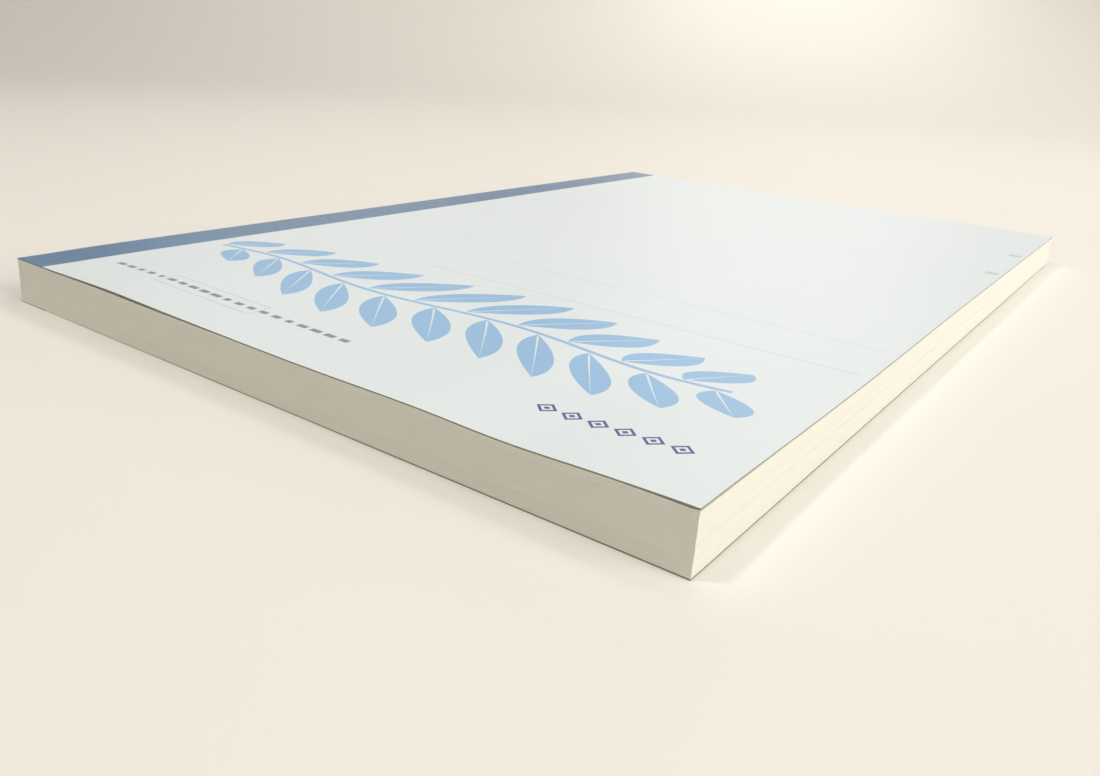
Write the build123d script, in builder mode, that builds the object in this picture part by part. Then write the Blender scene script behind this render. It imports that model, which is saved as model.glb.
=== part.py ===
"""Softcover notebook with a tape-bound spine, lying on its back cover.

+X runs from the spine to the fore-edge, +Y from the tail to the head and +Z up through the sheets. The origin is
the middle of the underside. Every piece has the same section all along the spine, so each one is drawn as a
profile in the XZ plane and extruded both ways along Y.
"""

from build123d import *
import os

os.makedirs("parts", exist_ok=True)

# Driving sizes in millimetres
page_height = 252.0  # tail to head, the long side of the sheets and of everything bound to them
sheet_width = 178.6  # glued edge to fore-edge
sheet_count = 100
sheet_thickness = 0.096
sheet_bevel = 0.02  # the blade leaves each sheet's edge slightly softened
cover_thickness = 0.28
glue_thickness = 0.28
tape_thickness = 0.12
tape_flap_width = 11.5  # tape on each cover, measured from the outside of the spine
card_edge_radius = 0.06  # the card's spine edge, pressed round under the tape

# Heights from the surface up
block_bottom = cover_thickness
block_height = sheet_count * sheet_thickness
block_top = block_bottom + block_height
notebook_top = block_top + cover_thickness

# Places across the spine, from the outside of the tape to the fore-edge
overall_width = tape_thickness + glue_thickness + sheet_width
spine_face = -overall_width / 2
tape_inside = spine_face + tape_thickness
glued_edge = tape_inside + glue_thickness
fore_edge = glued_edge + sheet_width
flap_end = spine_face + tape_flap_width

# The fold's outside runs parallel to the card's pressed edge
fold_radius = card_edge_radius + tape_thickness


def bevelled_pile(reach):
    """Points up the trimmed side of the pile: each sheet comes in by the bevel at its two faces."""
    points = []
    for sheet in range(sheet_count):
        low = block_bottom + sheet * sheet_thickness
        high = low + sheet_thickness
        points.append((reach - sheet_bevel, low))
        points.append((reach, low + sheet_bevel))
        points.append((reach, high - sheet_bevel))
    points.append((reach - sheet_bevel, block_top))
    return points


# Page block: the fore-edge profile, cut to length by the profile of the tail and the head
with BuildPart() as page_block:
    with BuildSketch(Plane.XZ):
        with BuildLine():
            Polyline((glued_edge, block_bottom), *bevelled_pile(fore_edge), (glued_edge, block_top), close=True)
        make_face()
    extrude(amount=page_height / 2, both=True)
    with BuildSketch(Plane.YZ.offset(glued_edge)):
        with BuildLine():
            head_side = bevelled_pile(page_height / 2)
            tail_side = [(-y, z) for y, z in reversed(head_side)]
            Polyline(*head_side, *tail_side, close=True)
        make_face()
    extrude(amount=sheet_width, mode=Mode.INTERSECT)
page_block.part.label = "page_block"

# Spine glue: a flat skin over the sheets' bound edges
with BuildPart() as spine_glue:
    with BuildSketch(Plane.XZ):
        with BuildLine():
            Polyline(
                (tape_inside, block_bottom),
                (glued_edge, block_bottom),
                (glued_edge, block_top),
                (tape_inside, block_top),
                close=True,
            )
        make_face()
    extrude(amount=page_height / 2, both=True)
spine_glue.part.label = "spine_glue"

# Spine tape: the stretch between the two folds, stuck to the glue
with BuildPart() as spine_tape:
    with BuildSketch(Plane.XZ):
        with BuildLine():
            Polyline(
                (spine_face, block_bottom),
                (tape_inside, block_bottom),
                (tape_inside, block_top),
                (spine_face, block_top),
                close=True,
            )
        make_face()
    extrude(amount=page_height / 2, both=True)
spine_tape.part.label = "spine_tape"

# Front cover: card over the whole block, pressed in under the tape so that the tape lies flush
card_under_tape = notebook_top - tape_thickness
with BuildPart() as front_cover:
    with BuildSketch(Plane.XZ) as card_section:
        with BuildLine():
            Polyline(
                (tape_inside, block_top),
                (fore_edge, block_top),
                (fore_edge, notebook_top),
                (flap_end, notebook_top),
                (flap_end, card_under_tape),
                (tape_inside, card_under_tape),
                close=True,
            )
        make_face()
        pressed_corner = card_section.vertices().sort_by(Axis.X)[:2].sort_by(Axis.Y)[-1]
        fillet(pressed_corner, card_edge_radius)
    extrude(amount=page_height / 2, both=True)
front_cover.part.label = "front_cover"

# Front tape flap: the tape on the card and its rounded fold, down to the line where the cover turns
with BuildPart() as front_tape_flap:
    with BuildSketch(Plane.XZ) as flap_section:
        with BuildLine():
            Polyline(
                (spine_face, block_top),
                (tape_inside, block_top),
                (tape_inside, card_under_tape),
                (flap_end, card_under_tape),
                (flap_end, notebook_top),
                (spine_face, notebook_top),
                close=True,
            )
        make_face()
        fold_outside = flap_section.vertices().sort_by(Axis.X)[:2].sort_by(Axis.Y)[-1]
        fillet(fold_outside, fold_radius)
        fold_inside = flap_section.vertices().filter_by_position(
            Axis.X, tape_inside, tape_inside
        ).sort_by(Axis.Y)[-1]
        fillet(fold_inside, card_edge_radius)
    extrude(amount=page_height / 2, both=True)
front_tape_flap.part.label = "front_tape_flap"

# Back cover and its flap: the front ones turned over about the middle of the block
middle = Plane.XY.offset(notebook_top / 2)
with BuildPart() as back_cover:
    mirror(front_cover.part, about=middle)
back_cover.part.label = "back_cover"

with BuildPart() as back_tape_flap:
    mirror(front_tape_flap.part, about=middle)
back_tape_flap.part.label = "back_tape_flap"

for piece in (page_block, spine_glue, spine_tape, front_cover, front_tape_flap, back_cover, back_tape_flap):
    export_step(piece.part, f"parts/{piece.part.label}.step")
    print(piece.part.label, "volume", round(piece.part.volume), "mm3")

print("overall", overall_width, "x", page_height, "x", round(notebook_top, 3), "mm")
print("front hinge line at height", round(block_top, 3), "back hinge line at height", block_bottom)
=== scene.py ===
# %% [markdown]
# # A tape-bound notebook, seen from low down past its near corner
#
# The real object is a hundred sheets glued along one edge, with a card cover on each side and a strip of
# linen-like tape folded round the spine. Nearly all of what the eye reads is in things thinner than a
# millimetre: the cut edges of the sheets, the dark line under the cover and the step at the edge of the tape.
# So this script builds every piece again as a fine surface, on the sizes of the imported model.

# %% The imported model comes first
import math

import bpy
import numpy as np
from mathutils import Matrix, Vector


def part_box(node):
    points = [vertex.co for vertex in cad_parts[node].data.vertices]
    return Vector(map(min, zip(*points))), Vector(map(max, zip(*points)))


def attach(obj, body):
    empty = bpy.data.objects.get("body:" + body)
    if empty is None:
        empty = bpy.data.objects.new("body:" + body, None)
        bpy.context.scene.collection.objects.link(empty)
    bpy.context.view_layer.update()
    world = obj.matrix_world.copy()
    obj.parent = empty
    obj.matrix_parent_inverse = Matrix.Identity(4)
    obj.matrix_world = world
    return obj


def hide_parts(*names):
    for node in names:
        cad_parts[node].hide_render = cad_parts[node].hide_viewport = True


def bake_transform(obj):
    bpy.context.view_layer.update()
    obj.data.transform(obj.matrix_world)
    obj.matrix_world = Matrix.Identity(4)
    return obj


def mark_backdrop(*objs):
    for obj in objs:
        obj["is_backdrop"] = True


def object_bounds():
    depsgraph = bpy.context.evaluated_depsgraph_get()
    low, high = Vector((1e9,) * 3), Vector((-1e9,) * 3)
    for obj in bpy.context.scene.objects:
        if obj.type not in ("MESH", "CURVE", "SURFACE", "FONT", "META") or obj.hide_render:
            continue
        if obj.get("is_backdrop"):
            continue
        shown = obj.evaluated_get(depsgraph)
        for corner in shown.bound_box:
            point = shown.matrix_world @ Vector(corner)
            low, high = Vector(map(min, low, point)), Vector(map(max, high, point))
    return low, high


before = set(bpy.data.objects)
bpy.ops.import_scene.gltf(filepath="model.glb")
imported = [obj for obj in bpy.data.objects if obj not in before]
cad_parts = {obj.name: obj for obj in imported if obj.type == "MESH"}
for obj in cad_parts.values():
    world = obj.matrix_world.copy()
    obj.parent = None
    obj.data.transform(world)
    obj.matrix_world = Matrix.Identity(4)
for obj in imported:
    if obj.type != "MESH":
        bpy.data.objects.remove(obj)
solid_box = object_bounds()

# %% [markdown]
# Every size below is read from the model's boxes, so a piece made here can't drift away from the solid that
# it stands for. Blender works in metres, and this object is easier to think of in millimetres, so one named
# factor turns one into the other.

# %% Sizes read from the model
MM = 0.001
block_low, block_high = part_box("page_block")
wall_low, wall_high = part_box("spine_tape")

tail, head = block_low.y, block_high.y
glued_edge, fore_edge = block_low.x, block_high.x
spine_face, tape_inside = wall_low.x, wall_high.x
flap_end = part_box("front_tape_flap")[1].x
block_bottom, block_top = block_low.z, block_high.z
notebook_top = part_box("front_cover")[1].z
tape_thickness = tape_inside - spine_face
print(f"{(fore_edge - spine_face) / MM:.1f} x {(head - tail) / MM:.1f} x {notebook_top / MM:.2f} mm")

# %% [markdown]
# ## The camera
#
# A photograph taken this close has strong perspective, so the camera has to stand where the real one stood.
# A pinhole camera was fitted to the notebook's six visible corners: it stood 6 cm above the table, 10 cm out
# from the near corner. The fit also showed that the lens axis meets the picture right of its middle and a
# little above it, as it does in a cropped photograph, and the camera's shift says exactly that.

# %% Camera
PHOTO_WIDTH, PHOTO_HEIGHT = 1100, 776  # pixels
FOCAL_PIXELS = 886.4
AXIS_COLUMN, AXIS_ROW = 638.0, 340.0  # the pixel that the lens axis meets
SENSOR = 36.0  # mm

heading, tilt, roll = (math.radians(a) for a in (32.27, 18.27, 3.82))
camera_place = Vector((134.7, -214.0, 64.6)) * MM

forward = Vector((-math.sin(heading) * math.cos(tilt), math.cos(heading) * math.cos(tilt), -math.sin(tilt)))
level_right = forward.cross(Vector((0, 0, 1))).normalized()
level_up = level_right.cross(forward)
right = level_right * math.cos(roll) + level_up * math.sin(roll)
up = level_up * math.cos(roll) - level_right * math.sin(roll)

lens = bpy.data.cameras.new("camera")
lens.sensor_width = SENSOR
lens.lens = FOCAL_PIXELS / PHOTO_WIDTH * SENSOR
lens.shift_x = 0.5 - AXIS_COLUMN / PHOTO_WIDTH
lens.shift_y = (AXIS_ROW - PHOTO_HEIGHT / 2) / PHOTO_WIDTH
lens.clip_start = 0.005
camera = bpy.data.objects.new("camera", lens)
camera.matrix_world = Matrix((right, up, -forward)).transposed().to_4x4()
camera.location = camera_place
bpy.context.scene.collection.objects.link(camera)
bpy.context.scene.camera = camera
print(f"lens {lens.lens:.1f} mm, shift {lens.shift_x:.3f}, {lens.shift_y:.3f}")

# %% [markdown]
# ## How the pile lies
#
# A pile of paper is never quite flat or quite square. In the photograph the upper edge swells near the spine,
# dips by half a millimetre over the last hand's width, and curls up again at the corner itself. The curl is
# kept to a quarter of a millimetre, so that the two covers clear each other when both are open. The cover
# buckles a little more than the sheets do, so a dark gap opens below it in two places. The pile also leans
# half a millimetre over its own foot, and the glue has drawn its tail in beside the spine.
#
# Cover and sheets ask the same functions for their own places, so they stay together. Each term is a bell
# curve: its height, times e to the power of minus half the squared distance from its middle in widths.

# %% The lift of the pile's top, and its lean
LEAN_X, LEAN_Y = 0.25 * MM, 0.47 * MM
DRAWN_IN = 0.3 * MM


def bell(distance, width):
    """e to the power of minus half (distance / width) squared: 1 in the middle, near 0 three widths out."""
    return np.exp(-0.5 * (distance / width) ** 2)


def lift(x, y):
    """How far the pile's top lies above its flat height: bells across the page, each times one along it.

    The heights, middles and widths are in millimetres, and two slow sines are added as a ripple."""
    from_spine = (x - spine_face) / MM
    from_fore = (fore_edge - x) / MM
    from_tail = (y - tail) / MM
    curl = 0.28 * bell(from_fore + 2, 10) * bell(from_tail, 20)
    corner_dip = -0.55 * bell(from_fore - 33, 10) * bell(from_tail, 32)
    sag = -0.45 * bell(from_spine - 103, 22) * bell(from_tail, 45)
    swell = 0.32 * bell(from_spine - 38, 12) * bell(from_tail, 42)
    edge_dip = -0.36 * bell(from_fore, 30) * bell(from_tail - 58, 26)
    spine_ridge = 0.28 * bell(from_spine, 10) * (1 - bell(from_tail, 9))
    ripple = 0.03 * np.sin(from_spine / 17 + from_tail / 41)
    ripple = ripple + 0.025 * np.sin(from_tail / 23 - from_spine / 37)
    return (curl + corner_dip + sag + swell + edge_dip + spine_ridge + ripple) * MM


def gape(x, y):
    """How far the cover stands off the first sheet: a wide gap near the spine, a short one at the corner."""
    from_spine = (x - spine_face) / MM
    from_fore = (fore_edge - x) / MM
    from_tail = (y - tail) / MM
    return (0.42 * bell(from_spine - 44, 17) + 0.2 * bell(from_fore, 5)) * bell(from_tail, 13) * MM


def leaned(points):
    """Each point moved across by the lean, in step with its height: nothing at the table, all of it on top.

    Beside the spine the tail is also drawn in, by a parabola that is nothing at the foot and at the top."""
    share = points[..., 2] / notebook_top
    beside = bell((points[..., 0] - spine_face) / MM, 25) * bell((points[..., 1] - tail) / MM, 10)
    drawn = DRAWN_IN * 4 * share * (1 - share) * beside
    return points + np.stack([LEAN_X * share, LEAN_Y * share + drawn, 0 * share], -1)


corner_rise = float(lift(np.array(fore_edge), np.array(tail))) / MM
print(f"the near corner stands {corner_rise:.2f} mm above flat")

# %% [markdown]
# ## From arrays to a mesh
#
# Each shape is worked out as whole arrays: a table of points, a table that says which four points make each
# face, and a pair of numbers per point for the UV map. One short function hands them to Blender. Faces are
# listed anticlockwise as seen from outside, which is what makes them point outwards.

# %% Points and faces into a piece
SHARP_CORNER = math.radians(35)  # faces that meet at more than this stay crisp


def new_piece(name, points, quads, uv=None, slots=None, smooth=True):
    """A mesh made from whole arrays: points n by 3, quads m by 4, uv n by 2 and slots one number a face."""
    mesh = bpy.data.meshes.new(name)
    mesh.from_pydata(points.reshape(-1, 3).tolist(), [], quads.tolist())
    if uv is not None:
        layer = mesh.uv_layers.new(name="lay")
        layer.data.foreach_set("uv", uv.reshape(-1, 2)[quads].astype(np.float32).ravel())
    if slots is not None:
        mesh.polygons.foreach_set("material_index", slots.astype(np.int32))
    mesh.polygons.foreach_set("use_smooth", np.full(len(quads), smooth))
    if smooth:
        mesh.set_sharp_from_angle(angle=SHARP_CORNER)
    piece = bpy.data.objects.new(name, mesh)
    bpy.context.scene.collection.objects.link(piece)
    print(f"{name}: {2 * len(quads)} triangles")
    return piece


def lattice(numbers):
    """The quads of a table of point numbers: each point, the next in i, the next in both, the next in j."""
    here, across = numbers[:-1, :-1], numbers[1:, :-1]
    return np.stack([here, across, numbers[1:, 1:], numbers[:-1, 1:]], -1).reshape(-1, 4)


def rim_order(columns, rows):
    """The (i, j) places round the outside of a columns by rows table, anticlockwise from its first corner."""
    across = np.arange(columns)
    between = np.arange(1, rows - 1)
    i = [across, np.full(rows - 2, columns - 1), across[::-1], np.zeros(rows - 2, int)]
    j = [np.zeros(columns, int), between, np.full(columns, rows - 1), between[::-1]]
    return np.concatenate(i), np.concatenate(j)


# %% [markdown]
# ## The page block
#
# On the real block the guillotine leaves a hundred cut edges on each of three sides. They could be bump lines
# on a plain box, but then the outline at the corners would stay ruler-straight, and the photograph's near
# corner is faintly stepped. So each sheet is modelled: its edge is a narrow upright band, set in or out from
# its neighbours by some hundredths of a millimetre. Sheets also shift in small packets, because paper is fed
# to the blade in lifts, so each sheet's own random shift is added to one that is smoothed over its
# neighbours. The fourth side is roughened by a hundredth of a millimetre before it is glued, and the glue
# hides it.
#
# The wall is a function of two parameters, the distance round the rim and the height in sheets. A lattice of
# points closes it at the top and at the bottom, where the first and last pages are.

# %% Page block
SHEETS = 100
PAGE_COLUMNS, PAGE_ROWS = 60, 84
OWN_SHIFT, PACKET_SHIFT = 0.009 * MM, 0.024 * MM
PACKET_SPREAD = 5  # sheets
WAVELENGTHS = (11 * MM, 27 * MM, 61 * MM)
WAVE_SIZE = 0.012 * MM
chance = np.random.default_rng(12)


def packets(count, own, shared, spread):
    """Random shifts of sheets: each sheet's own, plus a shared one smoothed over its neighbours by a bell."""
    reach = np.arange(-3 * spread, 3 * spread + 1)
    smooth = bell(reach, spread)
    steps = chance.normal(size=count + len(reach) - 1)
    drift = np.convolve(steps, smooth / np.sqrt((smooth**2).sum()), "valid")
    return own * chance.normal(size=count) + shared * drift


def rim_waves(along, count, size):
    """A slow waviness of each sheet's edge: sines of the distance along the rim, each in a random phase."""
    total = np.zeros((count, len(along)))
    for wavelength in WAVELENGTHS:
        phase = chance.uniform(0, 2 * np.pi, (count, 1))
        strength = chance.uniform(0.3, 1.0, (count, 1))
        total += strength * np.sin(2 * np.pi * along / wavelength + phase)
    return size * total / len(WAVELENGTHS)


def page_top(x, y):
    """The first sheet's upper face: it follows the cover, less the gap below it."""
    return block_top + lift(x, y) - gape(x, y)


page_x = np.linspace(glued_edge, fore_edge, PAGE_COLUMNS)
page_y = np.linspace(tail, head, PAGE_ROWS)
i, j = rim_order(PAGE_COLUMNS, PAGE_ROWS)
rim_x, rim_y = page_x[i], page_y[j]
out_x = (i == PAGE_COLUMNS - 1).astype(float)
out_y = (j == PAGE_ROWS - 1).astype(float) - (j == 0)
bound = (i == 0).astype(float)
along = np.concatenate([[0], np.cumsum(np.hypot(np.diff(rim_x), np.diff(rim_y)))])

shift_x = packets(SHEETS, OWN_SHIFT, PACKET_SHIFT, PACKET_SPREAD)[:, None] * out_x
shift_y = packets(SHEETS, OWN_SHIFT, PACKET_SHIFT, PACKET_SPREAD)[:, None] * np.abs(out_y)
wave = rim_waves(along, SHEETS, WAVE_SIZE)
sheet_x = rim_x + shift_x + wave * out_x + np.abs(wave) * bound
sheet_y = rim_y + shift_y + wave * out_y

share = np.repeat(np.arange(SHEETS + 1) / SHEETS, 2)[1:-1]
stretch = page_top(rim_x, rim_y) - block_bottom
wall_z = block_bottom + share[:, None] * stretch
wall = np.stack([np.repeat(sheet_x, 2, 0), np.repeat(sheet_y, 2, 0), wall_z], -1)
wall_number = np.arange(wall[..., 0].size).reshape(wall.shape[:2])
wall_uv = np.stack(np.broadcast_arrays(along, share[:, None] * SHEETS), -1)

inner = (slice(1, -1), slice(1, -1))
grid_x, grid_y = np.meshgrid(page_x, page_y, indexing="ij")


def page_face(height, rim_numbers, first_number):
    """A lattice whose outside points are the wall's, so that the block closes: gives new points and quads."""
    numbers = np.empty(grid_x.shape, int)
    numbers[i, j] = rim_numbers
    fresh = np.stack([grid_x, grid_y, height], -1)[inner].reshape(-1, 3)
    numbers[inner] = first_number + np.arange(len(fresh)).reshape(numbers[inner].shape)
    return fresh, lattice(numbers)


top_points, top_quads = page_face(page_top(grid_x, grid_y), wall_number[-1], wall_number.size)
low_points, low_quads = page_face(
    np.full(grid_x.shape, block_bottom), wall_number[0], wall_number.size + len(top_points)
)
wall_quads = lattice(np.vstack([wall_number.T, wall_number.T[:1]]))

block_points = np.vstack([wall.reshape(-1, 3), top_points, low_points])
block_quads = np.vstack([wall_quads, top_quads, low_quads[:, ::-1]])
block_uv = np.vstack([wall_uv.reshape(-1, 2), top_points[:, :2], low_points[:, :2]])
block_slots = np.repeat([0, 1], [len(wall_quads), len(top_quads) + len(low_quads)])
pages = new_piece("sheets", leaned(block_points), block_quads, block_uv, block_slots, smooth=False)
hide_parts("page_block")
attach(pages, "block")

# %% [markdown]
# ## The covers and the glue
#
# A cover is a card under a third of a millimetre thick, and the glue is a skin of about the same thickness on
# the spine. Both are closed slabs: an upper and a lower height over the same lattice, and a rim between them.
# The card's height dips by the tape's thickness where the tape lies on it, as on the solid, so extra lattice
# lines are put close to that step.

# %% A closed slab between two heights


def slab(name, xs, ys, low, high, slots=(0, 0, 0)):
    """A closed solid between low(x, y) and high(x, y): two lattices, and quads that join their outsides.

    slots are the material numbers of the upper face, the lower face and the rim."""
    x, y = np.meshgrid(xs, ys, indexing="ij")
    points = np.stack([np.stack([x, y, high(x, y)], -1), np.stack([x, y, low(x, y)], -1)])
    numbers = np.arange(points[..., 0].size).reshape(points.shape[:-1])
    a, b = rim_order(len(xs), len(ys))
    rim = np.stack([numbers[1][a, b], numbers[0][a, b]])
    rim_quads = lattice(np.hstack([rim, rim[:, :1]]).T)
    faces = [lattice(numbers[0]), lattice(numbers[1])[:, ::-1], rim_quads]
    kind = np.repeat(slots, [len(f) for f in faces])
    uv = points[..., :2].reshape(-1, 2)
    return new_piece(name, leaned(points), np.vstack(faces), uv, kind)


def fine_lines(start, end, count, extra=()):
    """Evenly spaced places from start to end, with some extra ones put in."""
    return np.unique(np.concatenate([np.linspace(start, end, count), extra]))


# %% [markdown]
# The tape lies pressed into the card, and stands a few hundredths of a millimetre proud of it: enough for its
# edge to catch the light. A card's own cut edge is a different material from its faces, so the rim gets a
# slot of its own, and so does the face that looks at the pages.

# %% Front cover, back cover and glue
CARD_COLUMNS, CARD_ROWS = 76, 104
TAPE_STEP = 0.12 * MM
PAGE_GAP = 0.02 * MM
OUTER, INNER, CUT = 0, 1, 2

card_x = fine_lines(tape_inside, fore_edge, CARD_COLUMNS, [flap_end - TAPE_STEP, flap_end])
card_y = fine_lines(tail, head, CARD_ROWS)


def under_tape(x):
    """How far the card is pressed in: the tape's thickness, falling to nothing in one step at its edge."""
    return tape_thickness * np.clip((flap_end - x) / TAPE_STEP, 0, 1)


def front_top(x, y):
    """The front card's printed face."""
    return notebook_top + lift(x, y) - under_tape(x)


def front_bottom(x, y):
    """The front card's inner face, a hair above the first page."""
    return block_top + lift(x, y) + PAGE_GAP


front = slab("front_card", card_x, card_y, front_bottom, front_top, (OUTER, INNER, CUT))
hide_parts("front_cover")
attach(front, "front_cover")

back = slab(
    "back_card",
    card_x,
    card_y,
    lambda x, y: under_tape(x),
    lambda x, y: np.full(x.shape, block_bottom - PAGE_GAP),
    (INNER, OUTER, CUT),
)
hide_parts("back_cover")
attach(back, "back_cover")

glue = slab(
    "glue_skin",
    fine_lines(tape_inside, glued_edge, 2),
    card_y,
    lambda x, y: np.full(x.shape, block_bottom),
    page_top,
)
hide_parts("spine_glue")
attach(glue, "block")

# %% [markdown]
# ## The spine tape
#
# The tape is one strip, but each cover turns at one of its two folds, and a piece can bend across one joint
# only. So it is made as two strips that meet halfway up the spine, where no light gets in between them. Each
# strip is a profile carried along the spine: up the wall, round the fold on a quarter circle, and out over
# the card. The inside of the profile follows the outside, one tape thickness in.

# %% Spine tape
FOLD_RADIUS = 0.2 * MM
PROUD = 0.03 * MM
half_height = notebook_top / 2


def tape_profile(proud, samples=(9, 7, 18)):
    """The tape's section as distances from the spine face and from the cover's face, and the length along it.

    Outside first: up the wall, round a quarter circle of the fold's radius, then along the card. The inside
    runs back one thickness further in, and the quarter circle shrinks by the same amount."""
    up_wall, round_fold, over_card = samples
    turn = np.linspace(0, np.pi / 2, round_fold)
    paths = []
    for inset in (0.0, tape_thickness):
        radius = FOLD_RADIUS - inset
        rise = np.linspace(half_height, FOLD_RADIUS - proud, up_wall)
        run = np.linspace(FOLD_RADIUS, flap_end - spine_face, over_card)
        across = np.concatenate([np.full(up_wall, inset), FOLD_RADIUS - radius * np.cos(turn[1:-1]), run])
        down = np.concatenate(
            [rise, FOLD_RADIUS - proud - radius * np.sin(turn[1:-1]), np.full(over_card, inset - proud)]
        )
        paths.append(np.stack([across, down], -1))
    outside, inside = paths
    return np.vstack([outside, inside[::-1]])


def tape_strip(proud, height_of, stations=150):
    """Carries the profile along the spine. height_of turns distance from the cover's face into a height."""
    profile = tape_profile(proud)
    ys = np.linspace(tail, head, stations)
    across, y = np.meshgrid(profile[:, 0], ys, indexing="ij")
    down = np.broadcast_to(profile[:, 1:], across.shape)
    x = spine_face + across
    points = np.stack([x, y, height_of(down, x, y)], -1)
    numbers = np.arange(points[..., 0].size).reshape(points.shape[:2])
    ring = np.vstack([numbers, numbers[:1]])
    half = len(profile) // 2
    caps = [lattice(np.stack([numbers[:half, end], numbers[half:, end][::-1]])) for end in (0, -1)]
    length = np.concatenate([[0], np.cumsum(np.hypot(*np.diff(profile[:half], axis=0).T))])
    length = np.concatenate([length, length[::-1]])
    uv = np.stack([np.broadcast_to(length[:, None], across.shape), y], -1)
    return points, ring, caps, uv


def make_tape(name, proud, height_of, turned_over):
    """One strip as a closed piece. A section that is turned over has its faces turned back outwards."""
    points, ring, (near_cap, far_cap), uv = tape_strip(proud, height_of)
    quads = np.vstack([lattice(ring), near_cap, far_cap[:, ::-1]])
    return new_piece(name, leaned(points), quads[:, ::-1] if turned_over else quads, uv)


def front_height(down, x, y):
    """Down from the lifted top of the notebook; half way down the spine the lift has faded to nothing."""
    return notebook_top - down + lift(x, y) * np.clip(1 - down / half_height, 0, 1)


def back_height(down, x, y):
    """Up from the table, with no lift: the back cover's face is the level that distances start from."""
    return down


front_tape = make_tape("front_tape", PROUD, front_height, turned_over=False)
back_tape = make_tape("back_tape", 0.0, back_height, turned_over=True)
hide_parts("front_tape_flap", "spine_tape")
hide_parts("back_tape_flap")
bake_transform(front_tape)
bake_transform(back_tape)

# %% [markdown]
# ## Shader maths that reads as Python
#
# A pattern such as a printed rule is a small formula: how far is this point from the line, and is that less
# than half its width? Built by hand it is a chain of Math nodes. The class below wraps one socket and adds
# the node each time an operator is used, so the formula can be written as a formula.

# %% A socket that can be added and multiplied


class Term:
    """A number that a finish works out for each point. Operators add the Math node that does the same."""

    def __init__(self, finish, socket):
        self.finish = finish
        self.socket = socket

    def math(self, operation, *values):
        node = self.finish.node("ShaderNodeMath", {"operation": operation}, dict(enumerate(values)))
        return Term(self.finish, node.outputs[0])

    def __add__(self, other):
        return self.math("ADD", self, other)

    __radd__ = __add__

    def __sub__(self, other):
        return self.math("SUBTRACT", self, other)

    def __rsub__(self, other):
        return self.math("SUBTRACT", other, self)

    def __mul__(self, other):
        return self.math("MULTIPLY", self, other)

    __rmul__ = __mul__

    def __truediv__(self, other):
        return self.math("DIVIDE", self, other)

    def __mod__(self, other):
        return self.math("FLOORED_MODULO", self, other)

    def __abs__(self):
        return self.math("ABSOLUTE", self)

    def floor(self):
        return self.math("FLOOR", self)

    def sin(self):
        return self.math("SINE", self)

    def least(self, other):
        return self.math("MINIMUM", self, other)

    def most(self, other):
        return self.math("MAXIMUM", self, other)

    def inside(self, softness):
        """1 where this is above zero by the softness, 0 where it is below by as much, and a ramp between."""
        node = self.finish.node(
            "ShaderNodeMapRange",
            {"interpolation_type": "SMOOTHSTEP"},
            {"Value": self, "From Min": -softness, "From Max": softness},
        )
        return Term(self.finish, node.outputs[0])


# %% [markdown]
# A finish is one material being made. Its `node` method makes any node: it takes the type, then the settings,
# which have to be in place before the sockets exist in their final form, then the values or links of the
# sockets.

# %% A finish and its nodes


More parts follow.
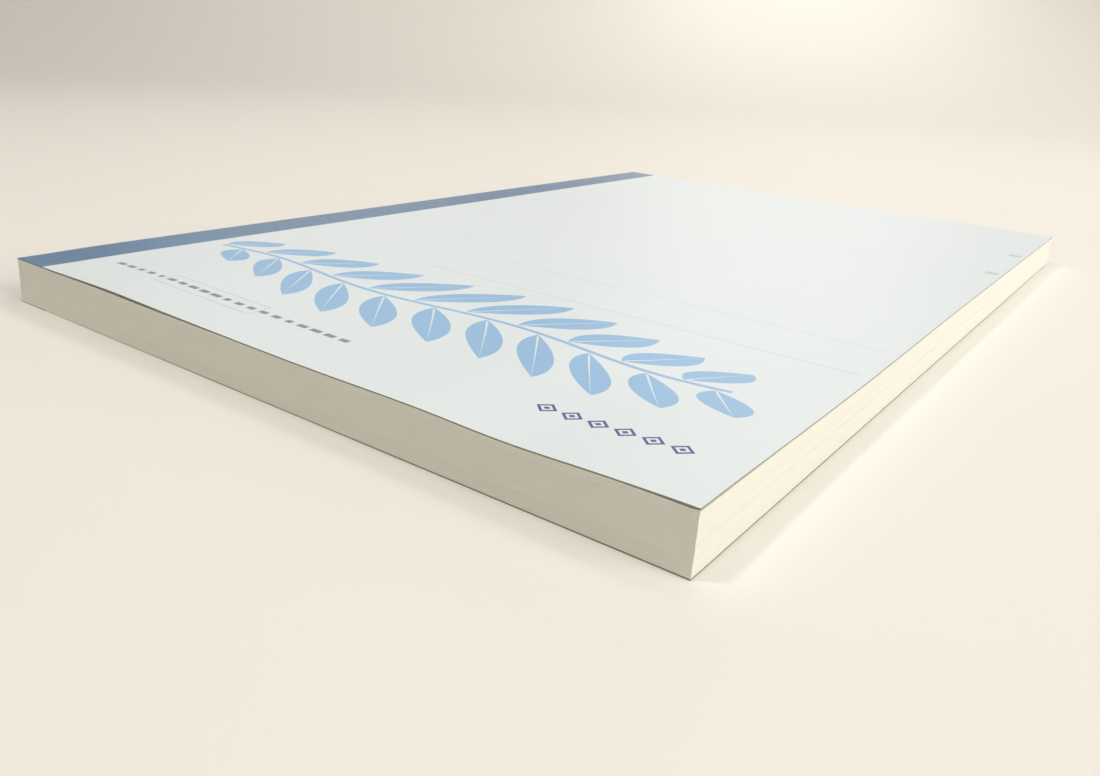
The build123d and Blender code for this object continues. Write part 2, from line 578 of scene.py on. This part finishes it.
class Finish:
    """One material, with the few kinds of step that this notebook's surfaces need."""

    def __init__(self, name):
        self.material = bpy.data.materials.new(name)
        self.material.use_nodes = True
        self.tree = self.material.node_tree
        self.tree.nodes.clear()
        self.shader = self.node("ShaderNodeBsdfPrincipled")
        self.node("ShaderNodeOutputMaterial", {}, {"Surface": self.shader.outputs[0]})

    def node(self, kind, settings=None, sockets=None):
        """Any node: its type, its settings, then the values or links of its sockets."""
        made = self.tree.nodes.new(kind)
        for setting, value in (settings or {}).items():
            setattr(made, setting, value)
        for place, value in (sockets or {}).items():
            self.feed(made.inputs[place], value)
        return made

    def feed(self, socket, value):
        """Links a Term or an output to a socket, or sets the socket's own value."""
        if isinstance(value, Term):
            value = value.socket
        if isinstance(value, bpy.types.NodeSocket):
            self.tree.links.new(value, socket)
        else:
            socket.default_value = value

    def place(self):
        """The point on the object at rest, as three Terms in millimetres."""
        spot = self.node("ShaderNodeTexCoord").outputs["Object"]
        parts = self.node("ShaderNodeSeparateXYZ", {}, {0: spot}).outputs
        return [Term(self, part) * (1 / MM) for part in parts]

    def lay(self, u_scale=1.0, v_scale=1.0):
        """The piece's own UV map as two Terms."""
        spot = self.node("ShaderNodeUVMap", {"uv_map": "lay"}).outputs[0]
        u, v, _ = self.node("ShaderNodeSeparateXYZ", {}, {0: spot}).outputs
        return Term(self, u) * u_scale, Term(self, v) * v_scale

    def noise(self, x, y, z=0.0, detail=2.0, roughness=0.5):
        """Smooth noise, about 0.5 on average, of a place given as Terms."""
        spot = self.node("ShaderNodeCombineXYZ", {}, {0: x, 1: y, 2: z}).outputs[0]
        sockets = {"Vector": spot, "Scale": 1.0, "Detail": detail, "Roughness": roughness}
        return Term(self, self.node("ShaderNodeTexNoise", {}, sockets).outputs["Fac"])

    def chance(self, x):
        """White noise from 0 to 1: a number of its own for each whole number."""
        spot = self.node("ShaderNodeCombineXYZ", {}, {0: x}).outputs[0]
        return Term(self, self.node("ShaderNodeTexWhiteNoise", {}, {"Vector": spot}).outputs["Value"])

    def mix(self, factor, first, second):
        """Between two colours, or colour outputs, by a factor."""
        sockets = {0: factor, 6: first, 7: second}
        return self.node("ShaderNodeMix", {"data_type": "RGBA"}, sockets).outputs[2]

    def relief(self, height, depth):
        """Bump of that depth in millimetres where the height goes from 0 to 1."""
        sockets = {"Height": height, "Distance": depth * MM, "Strength": 1.0}
        self.feed(self.shader.inputs["Normal"], self.node("ShaderNodeBump", {}, sockets).outputs[0])

    def surface(self, colour, roughness, **constants):
        """Feeds the shader's colour and roughness, and sets its other sockets."""
        self.feed(self.shader.inputs["Base Color"], colour)
        self.feed(self.shader.inputs["Roughness"], roughness)
        for socket, value in constants.items():
            self.shader.inputs[socket.replace("_", " ")].default_value = value
        return self.material


def rgb(red, green, blue):
    """A colour with its alpha, as sockets want it. The numbers are linear light, not screen values."""
    return (red, green, blue, 1.0)


# %% [markdown]
# ## Paper
#
# Writing paper is warm white and quite matt. On the cut sides the eye sees faint streaks: each sheet is a
# shade lighter or darker than the next, and the shade drifts along its length. The UV map holds the distance
# round the rim and the number of the sheet, so both are one noise lookup away. A thin dark line near each
# whole number is painted shade in the gap between two sheets, and here and there a small pale fleck lightens
# the colour.

# %% Paper on the cut sides
PAPER = rgb(0.8, 0.797, 0.72)
PAPER_SHADE = rgb(0.702, 0.676, 0.579)
HALF_GAP, GAP_BLUR = 0.16, 0.08  # shares of a sheet's thickness
FLECK_LEVEL = 0.71  # only the highest noise is above it

edge = Finish("cut_sheets")
along_rim, sheet = edge.lay(1 / MM, 1.0)
own_shade = edge.chance(sheet.floor())
drift = edge.noise(along_rim / 9, sheet / 2.3, detail=3.0)
packet = edge.noise(along_rim / 60, sheet / 9, 7.0)
gap_groove_and_shade = (HALF_GAP - abs((sheet + 0.5) % 1.0 - 0.5)).inside(GAP_BLUR)
fleck = (edge.noise(along_rim / 1.6, sheet * 0.7, 3.0) - FLECK_LEVEL).inside(0.03)
# painted shade: the gap term darkens the colour in a thin line between each two sheets; the sheet, drift and
# packet terms are the paper's own tone
shade = 0.12 * own_shade + 0.12 * drift + 0.1 * packet + 0.03 + 0.18 * gap_groove_and_shade - 0.5 * fleck
fibre = edge.noise(along_rim * 6, sheet * 1.5, detail=4.0)
edge.relief(fibre * 0.5 + drift * 0.2 - gap_groove_and_shade * 0.6, 0.02)
cut_sheets = edge.surface(edge.mix(shade, PAPER, PAPER_SHADE), 0.78 + 0.1 * fibre, IOR=1.4)
print("cut sheets:", len(edge.tree.nodes), "nodes")

# %% [markdown]
# The first and last pages show when a cover is open. They are ruled like any exercise book: a double line at
# the head, then a line every six millimetres, in pale grey-blue. The lines are where the distance to the
# nearest multiple of the pitch is small.

# %% Ruled page
RULE_PITCH = 6.0
RULES = 35
TOP_MARGIN = 29.0
SIDE_MARGIN = 7.0
HALF_RULE, RULE_BLUR = 0.08, 0.04
DOUBLE_ABOVE, DOUBLE_WEIGHT = 1.6, 1.8  # the second line at the head: how far up, and how much heavier
RULE_INK = rgb(0.4, 0.5, 0.62)

leaf = Finish("ruled_page")
x, y, _ = leaf.place()
below_head = head / MM - TOP_MARGIN - y
line = (HALF_RULE - abs((below_head + RULE_PITCH / 2) % RULE_PITCH - RULE_PITCH / 2)).inside(RULE_BLUR)
within = (below_head + 1).inside(0.1) * ((RULES - 1) * RULE_PITCH + 1 - below_head).inside(0.1)
head_rule = (HALF_RULE * DOUBLE_WEIGHT - abs(below_head + DOUBLE_ABOVE)).inside(RULE_BLUR)
sides = ((x - (glued_edge / MM + SIDE_MARGIN)).least(fore_edge / MM - SIDE_MARGIN - x)).inside(0.1)
ink = (line * within).most(head_rule) * sides
grain = leaf.noise(x * 1.5, y * 1.5, detail=5.0, roughness=0.6)
leaf.relief(grain, 0.015)
blank = leaf.mix(grain * 0.5, PAPER, rgb(0.71, 0.715, 0.655))
ruled_page = leaf.surface(leaf.mix(ink * 0.8, blank, RULE_INK), 0.8 + 0.08 * grain, IOR=1.4)
pages.data.materials.append(cut_sheets)
pages.data.materials.append(ruled_page)
print("ruled page:", len(leaf.tree.nodes), "nodes")

# %% [markdown]
# ## The printed cover
#
# The card is a cool pale grey-blue with a light calender gloss. The print on it is plain ornament: a sprig of
# leaves in mid blue across the tail end, a row of small indigo lozenges, some short grey dashes in a thin
# frame, two short ticks near the fore-edge, and the two thin rules that an exercise book has for its title.
# Each is a formula in millimetres from the corner at the spine and the tail.
#
# The sprig needs only one leaf. Folding the plane along the stem, by taking the distance from it, gives the
# leaves on both sides. A shear then makes them lean, and the remainder of x by the pitch repeats them. The
# leaf is a parabola: its half width is t times (1 - t), where t goes from 0 at the stem to 1 at the tip.

# %% Cover print
CARD = rgb(0.718, 0.775, 0.796)
CARD_SHADE = rgb(0.686, 0.747, 0.773)
BLUE_INK = rgb(0.275, 0.475, 0.71)
INDIGO_INK = rgb(0.075, 0.09, 0.27)
GREY_INK = rgb(0.195, 0.21, 0.26)
INK_EDGE = 0.07  # mm over which an ink's edge fades


def sprig(x, y):
    """A stem on a slow sine, and leaves that lean away from it, shorter towards the sprig's two ends."""
    start, end, middle, pitch, lean = 17.0, 167.0, 40.5, 13.6, 0.82
    half_long, tallest, half_wide, half_stem, half_vein = (end - start) / 2, 18.0, 4.9, 0.75, 0.3
    sway, sway_length, taper, bare_end, slimmer = 1.6, 75, 0.55, 4.0, 0.7
    rise = y - middle - sway * ((x - start) * (2 * np.pi / sway_length)).sin()
    from_stem = abs(rise)
    side = rise.inside(0.01)
    run = x - start - lean * from_stem + side * (pitch / 2)
    base = ((run / pitch).floor() + 0.5) * pitch - half_long
    length = tallest * (1.0 - taper * (base / half_long) * (base / half_long)).most(0.05)
    t = (from_stem - half_stem) / length
    from_vein = abs(run % pitch - pitch / 2)
    leaf = (4 * half_wide * t * (1.0 - t) - from_vein).inside(INK_EDGE)
    vein = (half_vein * (1.0 - t) - from_vein).inside(INK_EDGE) * (t - 0.04).inside(0.02)
    stem = (half_stem * slimmer - from_stem).least((x - start).least(end - bare_end - x)).inside(INK_EDGE)
    ends = (half_long - bare_end - abs(base)).inside(0.05)
    return (leaf * (1.0 - vein) * ends).most(stem)


def lozenge_row(x, y):
    """Small diamonds: the half size less the distances across and along, with a hollow round the heart."""
    middle, start, pitch, count, half = 14.2, 141.0, 5.0, 6, 2.1
    flatness, border, heart = 1.15, 0.75, 1.45
    run = x - start
    size = half - abs(run % pitch - pitch / 2) - flatness * abs(y - middle)
    hollow = (size - border).inside(INK_EDGE) * (1.0 - (size - heart).inside(INK_EDGE))
    return size.inside(INK_EDGE) * (1.0 - hollow) * run.least(pitch * count - run).inside(0.05)


def dash_row(finish, x, y):
    """Short dashes of chance length on one line, and a thin frame round the middle ones."""
    middle, start, end, pitch, half_tall = 13.6, 18.0, 98.0, 4.0, 0.65
    shortest, spare = 0.7, 1.1
    frame_middle, frame_half_long, frame_half_tall, half_line = 36.0, 16.4, 2.7, 0.1
    run = x - start
    length = shortest + spare * finish.chance((run / pitch).floor())
    dash = (length - abs(run % pitch - pitch / 2)).least(half_tall - abs(y - middle)).inside(INK_EDGE)
    off_frame = (abs(run - frame_middle) - frame_half_long).most(abs(y - middle) - frame_half_tall)
    frame_line = (half_line - abs(off_frame)).inside(INK_EDGE)
    return (dash * run.least(end - start - run).inside(0.05)).most(frame_line * 0.5)


RULE_PLACES = (
    # from, to, height, half width
    (66, 177, 64.3, 0.13),
    (66, 177, 81.3, 0.1),
    (174.4, 178, 173, 1.4),
    (174.4, 178, 205, 1.4),
)


def title_rules(x, y):
    """Two thin rules for a title and two short ticks near the fore-edge, each a slim rectangle."""
    ink = 0.0
    for start, end, height, half in RULE_PLACES:
        inside = (half - abs(y - height)).least((end - start) / 2 - abs(x - (start + end) / 2))
        ink = inside.inside(0.05).most(ink)
    return ink


print("print drawn as four formulas")

# %% [markdown]
# The inks go on one after another, each mixed over what is already there. Ink is a little glossier than the
# card, and the card's own surface is a very fine, soft grain with a few broad clouds in it.

# %% Printed card
card = Finish("printed_card")
x, y, _ = card.place()
x = x - spine_face / MM
y = y - tail / MM
cloud = card.noise(x / 30, y / 30, detail=3.0)
grain = card.noise(x * 2.2, y * 2.2, detail=5.0, roughness=0.65)
colour = card.mix(0.6 * cloud + 0.4 * grain, CARD, CARD_SHADE)
blue = sprig(x, y)
indigo = lozenge_row(x, y)
colour = card.mix(blue, colour, BLUE_INK)
colour = card.mix(indigo, colour, INDIGO_INK)
colour = card.mix(dash_row(card, x, y) * 0.9, colour, GREY_INK)
colour = card.mix(title_rules(x, y) * 0.35, colour, GREY_INK)
card.relief(grain * 0.6 + cloud, 0.012)
printed_card = card.surface(colour, 0.4 + 0.1 * grain - 0.05 * blue, IOR=1.45)
print("printed card:", len(card.tree.nodes), "nodes")

# %% [markdown]
# The back cover is the same card left bare, the faces that look at the pages are uncoated, and the cut edge
# shows the card's grey-brown middle. The thin line under the cover in the photograph is partly that dark
# middle
# and partly painted shade: the shadow in the gap under the cover, painted into the cut edge's colour. The
# back card's edge is paler towards the spine, where the line under the pile fades in the photograph; its
# darkening towards the fore-edge and the tail is painted shade for the contact shadow under the pile, over
# the card's dark middle.

# %% Plain card, inner face and cut edge


def plain_card(name, light, dark, roughness, grain_scale, depth, slopes=(0.0, 0.0)):
    """Card with no print: two shades mixed by fine and broad noise, and a soft grain.

    The slopes add so much of the dark shade in each 100 mm towards the fore-edge and towards the head."""
    finish = Finish(name)
    x, y, z = finish.place()
    broad = finish.noise(x / 25, y / 25, z, detail=3.0)
    fine = finish.noise(x * grain_scale, y * grain_scale, z * grain_scale, detail=5.0, roughness=0.6)
    finish.relief(fine, depth)
    share = 0.6 * broad + 0.5 * fine - 0.05 + x * (slopes[0] / 100) + y * (slopes[1] / 100)
    return finish.surface(finish.mix(share, light, dark), roughness + 0.1 * fine, IOR=1.45)


bare_card = plain_card("bare_card", CARD, CARD_SHADE, 0.42, 2.2, 0.012)
card_inside = plain_card("card_inside", rgb(0.76, 0.755, 0.7), rgb(0.7, 0.69, 0.63), 0.75, 1.8, 0.02)
# partly painted shade: the cut edge's dark colour stands for the shadow in the gap under the cover as well as
# the card's own grey-brown middle
card_core_and_painted_shade = plain_card("card_core_and_painted_shade", rgb(0.33, 0.32, 0.25), rgb(0.2, 0.19, 0.145), 0.85, 4.0, 0.03)
# painted shade: the slopes darken the back card's cut edge towards the fore-edge and the tail, standing
# partly for the contact shadow under the pile
back_core_and_painted_shade = plain_card(
    "back_card_core_and_painted_shade", rgb(0.76, 0.74, 0.63), rgb(0.28, 0.26, 0.2), 0.85, 4.0, 0.03, slopes=(0.75, -0.2)
)
for piece, outside, cut in ((front, printed_card, card_core_and_painted_shade), (back, bare_card, back_core_and_painted_shade)):
    for material in (outside, card_inside, cut):
        piece.data.materials.append(material)
glue.data.materials.append(
    plain_card("dried_glue", rgb(0.8, 0.78, 0.68), rgb(0.7, 0.67, 0.55), 0.45, 3.0, 0.04)
)
print("card faces and glue finished")

# %% [markdown]
# ## Linen tape
#
# Spine tape is paper embossed to look like linen: fine threads both ways, with thicker slubs here and there.
# The emboss is two rows of sine ridges, one across and one along, stronger and weaker by noise. It reads the
# strip's own UV map, so the threads turn round the fold with the tape.

# %% Spine tape finish
THREAD = 0.42  # mm from one thread to the next
TAPE_BLUE = rgb(0.064, 0.168, 0.322)
TAPE_LIGHT = rgb(0.098, 0.226, 0.4)

linen = Finish("linen_tape")
across, length = linen.lay(1 / MM, 1 / MM)
wander = linen.noise(across / 3, length / 3) * 0.5
weft = ((across + wander) * (2 * np.pi / THREAD)).sin() * linen.noise(across * 3, length / 4, 2.0)
warp = ((length + wander) * (2 * np.pi / THREAD)).sin() * linen.noise(across / 4, length * 3, 5.0)
threads = 0.5 + 0.5 * weft + 0.5 * warp
wear = linen.noise(across / 6, length / 14, 9.0, detail=4.0)
linen.relief(threads, 0.015)
tape_colour = linen.mix(0.25 * threads + 0.5 * wear - 0.1, TAPE_BLUE, TAPE_LIGHT)
linen_tape = linen.surface(tape_colour, 0.2 + 0.1 * threads, IOR=1.55)
front_tape.data.materials.append(linen_tape)
back_tape.data.materials.append(linen_tape)
print("linen tape:", len(linen.tree.nodes), "nodes")

# %% [markdown]
# ## Floor and light
#
# The photograph is a high-key one: a warm white table that runs into a pale wall with no line between them,
# and soft light from the right. A dish does the same from every side: flat under the notebook, then curving
# up. Its profile is a straight run and most of a quarter circle, turned round the vertical.

# %% Floor
FLAT_RADIUS = 0.85
CURVE_RADIUS = 1.45
CURVE_TURN = math.radians(80)
RINGS, SPOKES = 24, 96

flat = np.linspace(0.0, FLAT_RADIUS, RINGS)[1:]
bend = np.linspace(0, CURVE_TURN, RINGS)[1:]
profile_r = np.concatenate([flat, FLAT_RADIUS + CURVE_RADIUS * np.sin(bend)])
profile_z = np.concatenate([0 * flat, CURVE_RADIUS * (1 - np.cos(bend))])
turn = np.linspace(0, 2 * np.pi, SPOKES, endpoint=False)
r, angle = np.meshgrid(profile_r, turn, indexing="ij")
z = np.broadcast_to(profile_z[:, None], r.shape)
dish_points = np.stack([r * np.cos(angle), r * np.sin(angle), z], -1)
dish_number = np.arange(dish_points[..., 0].size).reshape(dish_points.shape[:2])
dish_quads = lattice(np.hstack([dish_number, dish_number[:, :1]]))
floor = new_piece("floor", dish_points, dish_quads)
middle = bpy.data.meshes.new("floor_middle")
middle.from_pydata(dish_points[0].tolist(), [], [list(range(SPOKES))])
middle_piece = bpy.data.objects.new("floor_middle", middle)
bpy.context.scene.collection.objects.link(middle_piece)
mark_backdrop(floor, middle_piece)

table = Finish("warm_white_table")
x, y, _ = table.place()
table_noise = table.noise(x / 90, y / 90, detail=2.0)
table_colour = table.mix(table_noise, rgb(0.795, 0.77, 0.715), rgb(0.785, 0.76, 0.705))
floor.data.materials.append(table.surface(table_colour, 0.6 + 0.05 * table_noise, IOR=1.3))
middle.materials.append(table.material)

# %% [markdown]
# Three soft lamps light the notebook. The window is a large one low down on the right, a little cooler than
# the rest: it keeps the fore-edge bright and leaves the tail in soft shade. Its beam is narrowed, so that the
# floor right below it doesn't burn out. A small lamp high up on the left throws the soft shadow, a few
# millimetres wide, at the fore-edge's foot. A large one overhead evens out the cover.
#
# The other lamps light only the wall, which would be dark so far from the notebook. Four are on the side that
# the camera sees, and four stand round the other sides, so a picture from there has a lit wall behind it too.

# %% Lights and world
WARM = (1.0, 0.963, 0.911)
DAYLIGHT = (1.0, 0.975, 0.955)
WORLD_STRENGTH = 0.04


def soft_light(name, place, aim, size, power, colour=WARM, spread=180):
    """A square area light at place, turned to face aim. The spread is how wide its beam is, in degrees."""
    light = bpy.data.lights.new(name, "AREA")
    light.energy = power
    light.size = size
    light.color = colour
    light.spread = math.radians(spread)
    lamp = bpy.data.objects.new(name, light)
    lamp.location = place
    lamp.rotation_euler = (Vector(aim) - Vector(place)).to_track_quat("-Z", "Y").to_euler()
    lamp.visible_camera = False
    bpy.context.scene.collection.objects.link(lamp)


LIGHTS = (
    # name, place, aim, size in metres and power in watts, then a colour and a beam if they aren't the usual
    ("window", (1.15, 0.05, 0.56), (0.06, -0.05, 0), 0.72, 6.9, DAYLIGHT, 140),
    ("ceiling", (-0.4, -0.43, 1.25), (0, 0, 0), 0.18, 4.5),
    ("overhead", (0.2, -0.4, 1.2), (0.05, 0, 0), 1.2, 6.5),
    ("wall_wash", (0.5, 0.55, 1.0), (-0.9, 1.6, 0.4), 0.5, 7.0),
    ("wall_fill", (-0.2, 0.6, 1.2), (-0.4, 1.2, 0), 0.6, 2.7),
    ("wall_left", (-1.25, 0.85, 0.7), (-0.95, 0.65, 0.05), 0.6, 0.9),
    ("wall_middle", (-0.55, 1.3, 0.6), (-0.5, 1.1, 0.05), 0.6, 2.1),
    ("wall_right", (1.05, 1.0, 0.7), (0.82, 0.78, 0.05), 0.6, 0.8),
    ("wall_beyond", (0.7, 0.15, 1.15), (1.9, 0.35, 0.6), 0.7, 3.0),
    ("wall_front", (0.95, -1.1, 0.7), (0.75, -0.87, 0.05), 0.6, 0.8),
    ("wall_near", (-1.0, -1.05, 0.7), (-0.8, -0.83, 0.05), 0.6, 0.6),
)
for light in LIGHTS:
    soft_light(*light)
print(f"{len(LIGHTS)} soft lamps")

world = bpy.data.worlds.new("room")
world.use_nodes = True
world.node_tree.nodes["Background"].inputs["Color"].default_value = (*WARM, 1.0)
world.node_tree.nodes["Background"].inputs["Strength"].default_value = WORLD_STRENGTH
bpy.context.scene.world = world
bpy.context.scene.view_settings.view_transform = "Standard"

# %% Sizes side by side
shown_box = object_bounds()
for label, corners in (("solid", solid_box), ("shown", shown_box)):
    print(label, [round(v / MM, 2) for corner in corners for v in corner])
